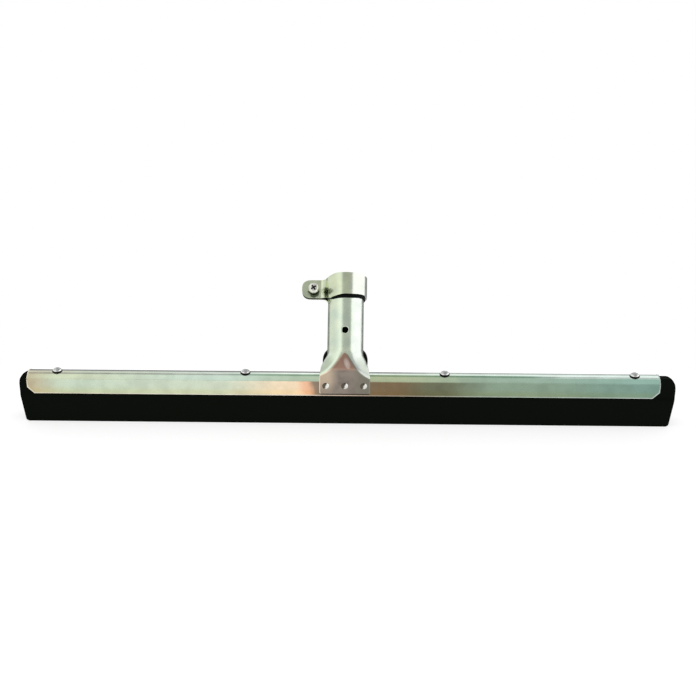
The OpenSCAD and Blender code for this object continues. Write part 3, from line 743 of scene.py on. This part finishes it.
def shaded_hollow(name):
    """Painted shade for hollows and inner faces: nearly black and dull, in uneven patches."""
    finish, tree, shader, place = new_finish(name)
    shading = cloud(tree, place, 180.0, detail=4.0)
    black, grey = (0.010, 0.011, 0.010, 1), (0.028, 0.027, 0.024, 1)
    colour = blend_colours(tree, fade(tree, shading, 0.35, 0.7), black, grey)
    tree.links.new(colour, shader.inputs["Base Color"])
    tree.links.new(fade(tree, shading, 0.3, 0.7, 0.55, 0.75), shader.inputs["Roughness"])
    shader.inputs["Metallic"].default_value = 0.5
    return finish


# The socket's inner faces take the nearly black painted shade.
socket = make_piece(
    "handle_socket", mesh, plated_steel("socket_zinc", socket_colours, 0.19), shaded_hollow("socket_inside")
)
add_modifier(
    socket, "SOLIDIFY", thickness=WALL * MM, offset=-1.0, use_even_offset=True, material_offset=1,
    material_offset_rim=1, edge_crease_inner=0.5, edge_crease_outer=0.5,
)
add_modifier(socket, "SUBSURF", levels=1, render_levels=1)
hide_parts("socket")
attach(socket, "frame")

# Spot welds: three on each flap join it to the channel's skirt. Each is a shallow crater with a rim that the
# electrode squeezed up. Its upper left is painted dark brown as painted shade, its lower right bright as a
# painted highlight.
WELD_Z, WELD_R, WELD_RISE, WELD_SIDE = 36.0, 2.8, 0.75, 15.8
REAR_WELD_Z, REAR_WELD_SIDE, REAR_WELD_SIZE = 31.2, 12.8, 0.75


def weld_colours(tree, place):
    """Painted shade, dark brown, on one side of the crater, and a painted highlight, bright, on the other."""
    shaded_side = add_node(tree, "ShaderNodeAttribute", attribute_name="weld_shade_side").outputs["Fac"]
    uneven = maths(tree, "MULTIPLY", maths(tree, "SUBTRACT", cloud(tree, place, 900.0), 0.5), 0.6)
    shade_share = fade(tree, maths(tree, "ADD", shaded_side, uneven), 0.3, 0.7)
    return blend_colours(tree, shade_share, (0.78, 0.78, 0.73, 1), (0.11, 0.09, 0.065, 1))


weld_steel = plated_steel("weld_zinc", weld_colours, 0.2)
crater = [
    (0, 0.1), (0.6, 0.12), (1.1, 0.3), (1.45, 0.62), (1.75, WELD_RISE), (2.05, 0.68), (2.45, 0.35),
    (WELD_R, 0.06), (WELD_R + 0.3, -0.1), (0, -0.1),
]
mesh = bmesh.new()
shading = mesh.verts.layers.float.new("weld_shade_side")
for facing, z, side, size in ((-1, WELD_Z, WELD_SIDE, 1), (1, REAR_WELD_Z, REAR_WELD_SIDE, REAR_WELD_SIZE)):
    turned = Matrix.Rotation(-facing * math.pi / 2, 4, "X") @ Matrix.Diagonal((size, size, 1, 1))
    for x in (-side, 0, side):
        spot = Matrix.Translation((x, MIDDLE_Y + facing * (CHANNEL_HALF + WALL), z))
        for v in lathe(mesh, crater, 32, at=spot @ turned):
            # Painted shade on the crater's upper left side, painted highlight on its lower right.
            v[shading] = eased(0.5, -0.5, ((v.co.x - x) * 0.9 - (v.co.z - z) * 0.35) / WELD_R)
welds = make_piece("spot_welds", mesh, weld_steel)
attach(welds, "frame")

# Clamp liner: a strip of black rubber bent round the tube inside the clamp, a little wider than the band.
# Friction holds it, and its lower edge shows as a rounded black lip under the band.
tube_lean = Matrix.Rotation(-math.atan2(up.x, up.y), 4, "X")
on_tube = Matrix.Translation((0, foot.x + MIDDLE_Y, foot.y)) @ tube_lean
LINER_IN, LINER_OUT, LINER_LOW, EAR_GAP, BAND_LOW = 15.25, 16.55, 62.7, 3.0, 65.5
LINER_TOP = TUBE_LEN - TUBE_SHORT
LINER_SIDE, LEFT_FROM, LEFT_SHRINK, RIGHT_FROM, RIGHT_SHRINK = 16.2, -11, 0.9, 3, 0.6


def soft_black(name):
    """Smooth moulded black rubber with a faint bloom."""
    finish, tree, shader, place = new_finish(name)
    bloom = cloud(tree, place, 320.0)
    black, bloomed = (0.0015, 0.0022, 0.0022, 1), (0.0035, 0.0045, 0.0042, 1)
    colour = blend_colours(tree, fade(tree, bloom, 0.35, 0.75), black, bloomed)
    tree.links.new(colour, shader.inputs["Base Color"])
    tree.links.new(fade(tree, bloom, 0.3, 0.7, 0.4, 0.55), shader.inputs["Roughness"])
    skin = cloud(tree, place, 2200.0)
    bump = add_node(tree, "ShaderNodeBump", {"Strength": 0.1, "Distance": 0.0001, "Height": skin})
    tree.links.new(bump.outputs[0], shader.inputs["Normal"])
    shader.inputs["Specular IOR Level"].default_value = 0.07
    return finish


def coil(mesh, section, angle, steps, start=0.0, rise=0.0):
    """Spins a closed section of (radius, height) points round the upright axis from a start angle, rising."""
    turned = Matrix.Rotation(start, 4, "Z")
    face = mesh.faces.new([mesh.verts.new(turned @ Vector((r, 0, z))) for r, z in section])
    bmesh.ops.spin(
        mesh, geom=[face] + face.edges[:] + face.verts[:], cent=(0, 0, 0), axis=(0, 0, 1),
        dvec=(0, 0, rise / steps), angle=angle, steps=steps, use_merge=False,
    )


mesh = bmesh.new()
gap = 2 * math.asin(EAR_GAP / 2 / LINER_OUT)
coil(mesh, [
    (LINER_IN, LINER_LOW + 0.3), (LINER_IN + 0.15, LINER_LOW), (LINER_IN + 0.5, LINER_LOW + 0.02),
    (LINER_IN + 0.75, LINER_LOW + 0.3), (LINER_OUT - 0.25, LINER_LOW + 1.2),
    (LINER_OUT - 0.05, LINER_LOW + 2.2), (LINER_OUT, BAND_LOW), (LINER_OUT, LINER_TOP), (LINER_IN, LINER_TOP),
], 2 * math.pi - gap, 72, start=math.pi + gap / 2)
for v in mesh.verts:
    below = max(BAND_LOW - v.co.z, 0)
    shrink = LEFT_SHRINK * eased(LEFT_FROM, -LINER_SIDE, v.co.x)
    shrink += RIGHT_SHRINK * eased(RIGHT_FROM, LINER_SIDE, v.co.x)
    v.co.z += below * shrink
bmesh.ops.recalc_face_normals(mesh, faces=mesh.faces)
bmesh.ops.transform(mesh, matrix=on_tube, verts=mesh.verts)
liner = make_piece("clamp_lining", mesh, soft_black("liner_rubber"))
liner.data.set_sharp_from_angle(angle=math.radians(60))
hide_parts("clamp_liner")
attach(liner, "clamp")

# Clamp band: a strip of plated steel bent round the liner, with its two ends turned out as rounded ears.
# A dent pressed into each bend, low down, keeps the ears from folding when the screw pulls them together.
BAND_IN, BAND_T, BAND_W, BAND_ROWS, BAND_EDGE = 16.6, 1.2, 19.0, 20, 0.22
EAR_H, EAR_OVER, SLOPE_FROM, SLOPE_TO, SCREW_X, EAR_BEND_R = 16.5, 10.0, -20, -7, 27.5, 6.0
SHADOW_DROP, SHADOW_R, EAR_ROUND = 2.6, 5.2, 2.6
DIP_X, DIP, EAR_FROM, EAR_LIFT, RIGHT_LIFT = -13.5, 1.7, -18.5, 0.7, 1.3
DENT_X, DENT_HIGH, DENT_HALF_W, DENT_HALF_H, DENT_DEEP = -13.8, 3.9, 4.0, 3.3, 0.8
BAND_R = BAND_IN + BAND_T
ear_y = EAR_GAP / 2 + BAND_T
bend_y = ear_y + EAR_BEND_R
bend_x = -math.sqrt((BAND_R + EAR_BEND_R) ** 2 - bend_y ** 2)
turn = math.atan2(bend_y, -bend_x)
end_x = -SCREW_X - EAR_OVER + EAR_H / 2
half_line = [
    Vector((end_x - EAR_H / 2 * math.sin(math.radians(a)), -ear_y)) for a in (86, 80, 72, 62, 50, 36, 20, 0)
]
half_line += [Vector((end_x + (bend_x - end_x) * k / 6, -ear_y)) for k in range(1, 6)]
half_line += [
    Vector((bend_x + EAR_BEND_R * math.sin(a), -bend_y + EAR_BEND_R * math.cos(a)))
    for a in ((math.pi / 2 - turn) * k / 8 for k in range(9))
]
wrap = [math.pi + turn + (math.pi - turn) * k / 48 for k in range(1, 49)]
half_line += [Vector((BAND_R * math.cos(a), BAND_R * math.sin(a))) for a in wrap]
outline = half_line + [Vector((p.x, -p.y)) for p in reversed(half_line[:-1])]
mesh = bmesh.new()
shade_layer = mesh.verts.layers.float.new("dent_and_screw_shade")
bmesh.ops.create_grid(mesh, x_segments=len(outline) - 1, y_segments=BAND_ROWS, size=1)
for v in mesh.verts:
    point = outline[round((v.co.x + 1) / 2 * (len(outline) - 1))]
    share = (v.co.y + 1) / 2
    low = (DIP + EAR_LIFT) * eased(DIP_X, EAR_FROM, point.x) - DIP * eased(0, DIP_X, point.x)
    low += RIGHT_LIFT * eased(RIGHT_FROM, BAND_R, point.x)
    high = EAR_H + (BAND_W - EAR_H) * eased(SLOPE_FROM, SLOPE_TO, point.x)
    z = low + share * (high - low)
    if point.x < end_x:
        rounded = max(1 - ((end_x - point.x) / (EAR_H / 2)) ** EAR_ROUND, 0) ** (1 / EAR_ROUND)
        z = (EAR_H + EAR_LIFT) / 2 + (share - 0.5) * (EAR_H - EAR_LIFT) * rounded
    v.co = (point.x, point.y, BAND_LOW + z)
    # Painted shade in the dents, and a painted shadow of the screw's head a little below its centre.
    away = math.hypot((point.x - DENT_X) / DENT_HALF_W, (z - DENT_HIGH) / DENT_HALF_H)
    screw_shadow = math.hypot(point.x + SCREW_X, z - EAR_H / 2 + SHADOW_DROP) / SHADOW_R
    v[shade_layer] = max(eased(1.3, 0.5, away) * 0.8, eased(1.15, 0.75, screw_shadow))
    v.co -= Vector((0.6, math.copysign(0.8, point.y), 0)) * DENT_DEEP * eased(1, 0.2, away)
face_outwards(mesh, Vector((1, 0, 0)))
bmesh.ops.transform(mesh, matrix=on_tube, verts=mesh.verts)


def band_colours(tree, place):
    """Straw-green plate, paler to the right, with painted shade in the dents and a painted shadow under the
    screw's head.
    """
    patches = fade(tree, cloud(tree, place, 150.0), 0.3, 0.7)
    straw = blend_colours(tree, patches, (0.78, 0.85, 0.60, 1), (0.72, 0.80, 0.60, 1))
    to_right = fade_at(tree, axes_of(tree, place)["X"], 2, 7)
    plate = blend_colours(tree, to_right, straw, (0.83, 0.86, 0.78, 1))
    shade_fac = add_node(tree, "ShaderNodeAttribute", attribute_name="dent_and_screw_shade").outputs["Fac"]
    patchy = maths(tree, "ADD", shade_fac, maths(tree, "SUBTRACT", cloud(tree, place, 700.0), 0.5))
    return blend_colours(tree, fade(tree, patchy, 0.2, 0.95), plate, (0.13, 0.155, 0.095, 1))


band = make_piece("clamp_strip", mesh, plated_steel("band_zinc", band_colours, 0.17))
add_modifier(band, "SOLIDIFY", thickness=BAND_T * MM, offset=-1.0, use_even_offset=True)
soften_edges(band, BAND_EDGE)
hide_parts("clamp_band")
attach(band, "clamp")

# Clamp screw: a pan head machine screw of bright zinc-plated steel, through both ears of the clamp.
# Its cross recess was punched cold, with slanted sides, and its thread was rolled up out of the shank.
SCREW_R, SCREW_LEN, HEAD_R, HEAD_H, BRIM_H, PITCH = 2.5, 16.0, 4.5, 3.4, 1.2, 0.8
RECESS_LEN, RECESS_W, RECESS_DEEP, RECESS_TURN, RECESS_TAPER = 6.3, 1.6, 1.9, 35, 0.55
PUNCH_H, THREAD_STEPS, WASHER_T = 3, 24, 2.3
on_screw = on_tube @ Matrix.Translation((-SCREW_X, 0, BAND_LOW + EAR_H / 2))
on_screw = on_screw @ Matrix.Rotation(math.pi / 2, 4, "X")
seat = ear_y + WASHER_T + 0.1
tip = seat - SCREW_LEN
neck_r, core_r, crest_r = SCREW_R - 0.3, SCREW_R - 0.45, SCREW_R - 0.05


def bright_colours(tree, place):
    """Clean zinc, hardly tarnished."""
    return mottled(tree, place, 600.0, (0.86, 0.86, 0.78, 1), (0.70, 0.71, 0.64, 1))


def cut_with(piece, operation, tool, **settings):
    """Cuts a piece with a tool, which then goes."""
    add_modifier(piece, "BOOLEAN", operation=operation, object=tool, solver="EXACT", **settings)
    baked(piece)
    bpy.data.objects.remove(tool)


bright_zinc = plated_steel("screw_zinc", bright_colours, 0.2)
head = [(0, seat + HEAD_H)] + [
    (HEAD_R * math.sin(a) ** 0.8, seat + BRIM_H + (HEAD_H - BRIM_H) * math.cos(a) ** 0.75)
    for a in (math.radians(d) for d in (20, 32, 44, 55, 65, 74, 82, 88))
] + [(HEAD_R, seat + 0.9), (HEAD_R, seat + 0.25), (HEAD_R - 0.25, seat)]
shank = [
    (neck_r, seat), (neck_r, seat - 0.6), (core_r, seat - 0.6), (core_r, tip + 0.5), (core_r - 0.25, tip),
    (0, tip),
]
mesh = bmesh.new()
lathe(mesh, head + shank, 40, at=on_screw)
# The screw's recess faces take the nearly black painted shade.
screw = make_piece("cross_head_screw", mesh, bright_zinc, shaded_hollow("recess_shade"))
mesh = bmesh.new()
for turned in (RECESS_TURN, RECESS_TURN + 90):
    blade = bmesh.ops.create_cube(mesh, size=1)["verts"]
    for v in blade:
        taper = RECESS_TAPER if v.co.z < 0 else 1.0
        high = seat + HEAD_H - RECESS_DEEP + (v.co.z + 0.5) * PUNCH_H
        v.co = (v.co.x * RECESS_LEN * taper, v.co.y * RECESS_W * taper, high)
    bmesh.ops.rotate(mesh, cent=(0, 0, 0), matrix=Matrix.Rotation(math.radians(turned), 3, "Z"), verts=blade)
bmesh.ops.transform(mesh, matrix=on_screw, verts=mesh.verts)
for face in mesh.faces:
    face.material_index = 1
punch = make_piece("recess_punch", mesh, *screw.data.materials)
cut_with(screw, "DIFFERENCE", punch, use_self=True)
mesh = bmesh.new()
mesh.from_mesh(screw.data)
before = set(mesh.verts)
turns = int((SCREW_LEN - 1.6) / PITCH)
ridge = [
    (r, tip + 0.4 + PITCH * share)
    for r, share in ((core_r - 0.1, 0.03), (crest_r, 0.42), (crest_r, 0.58), (core_r - 0.1, 0.97))
]
coil(mesh, ridge, 2 * math.pi * turns, THREAD_STEPS * turns, rise=PITCH * turns)
thread = [v for v in mesh.verts if v not in before]
thread_faces = list({f for v in thread for f in v.link_faces})
for face in thread_faces:
    face.smooth = True
bmesh.ops.recalc_face_normals(mesh, faces=thread_faces)
bmesh.ops.transform(mesh, matrix=Matrix.Scale(MM, 4) @ on_screw, verts=thread)
mesh.to_mesh(screw.data)
mesh.free()
screw.data.set_sharp_from_angle(angle=math.radians(35))
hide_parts("clamp_screw")
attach(screw, "screw")

# Lock washer: a ring of square spring steel wire under the screw's head, split and a little sprung.
# Its zinc is painted nearly black as painted shade under the head, and the head holds it against the front
# ear.
WASHER_R, WASHER_SPLIT, WASHER_SPRUNG, WASHER_EDGE = 4.4, 0.9, 0.3, 0.12


def washer_shade_colours(tree, place):
    """Painted shade: plating painted nearly black, for the shadow under the screw's head."""
    return mottled(tree, place, 600.0, (0.030, 0.034, 0.026, 1), (0.055, 0.058, 0.045, 1))


mesh = bmesh.new()
hole_r, low, high = SCREW_R + 0.1, ear_y + 0.05, ear_y + 0.05 + WASHER_T - WASHER_SPRUNG
split = 2 * math.asin(WASHER_SPLIT / 2 / WASHER_R)
coil(
    mesh, [(hole_r, low), (WASHER_R, low), (WASHER_R, high), (hole_r, high)],
    2 * math.pi - split, 48, start=split / 2, rise=WASHER_SPRUNG,
)
bmesh.ops.recalc_face_normals(mesh, faces=mesh.faces)
bmesh.ops.transform(mesh, matrix=on_screw, verts=mesh.verts)
washer = make_piece("lock_washer", mesh, plated_steel("washer_zinc", washer_shade_colours, 0.3))
washer.data.set_sharp_from_angle(angle=math.radians(40))
soften_edges(washer, WASHER_EDGE)
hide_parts("clamp_washer")
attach(washer, "washer")

# Nut: a hexagon nut of the same bright plated steel behind the rear ear, on the screw's end.
# Its corners are turned off on both faces.
NUT_AF, NUT_H, NUT_TURNED = 8.0, 4.0, 0.55
flat_r, point_r, hole_r = NUT_AF / 2, NUT_AF / 2 / math.cos(math.pi / 6), SCREW_R - 0.2
nut_top, nut_low = -ear_y, -ear_y - NUT_H
mesh = bmesh.new()
bmesh.ops.create_cone(mesh, cap_ends=True, segments=6, radius1=point_r, radius2=point_r, depth=NUT_H)
bmesh.ops.translate(mesh, vec=(0, 0, (nut_top + nut_low) / 2), verts=mesh.verts)
bmesh.ops.transform(mesh, matrix=on_screw, verts=mesh.verts)
nut = make_piece("hex_nut", mesh, bright_zinc)
mesh = bmesh.new()
lathe(mesh, [
    (hole_r, nut_low), (flat_r - 0.15, nut_low), (point_r + 0.05, nut_low + NUT_TURNED),
    (point_r + 0.05, nut_top - NUT_TURNED), (flat_r - 0.15, nut_top), (hole_r, nut_top), (hole_r, nut_low),
], 64, at=on_screw)
cut_with(nut, "INTERSECT", make_piece("nut_round", mesh, bright_zinc))
nut.data.set_sharp_from_angle(angle=math.radians(25))
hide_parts("clamp_nut")
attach(nut, "clamp")
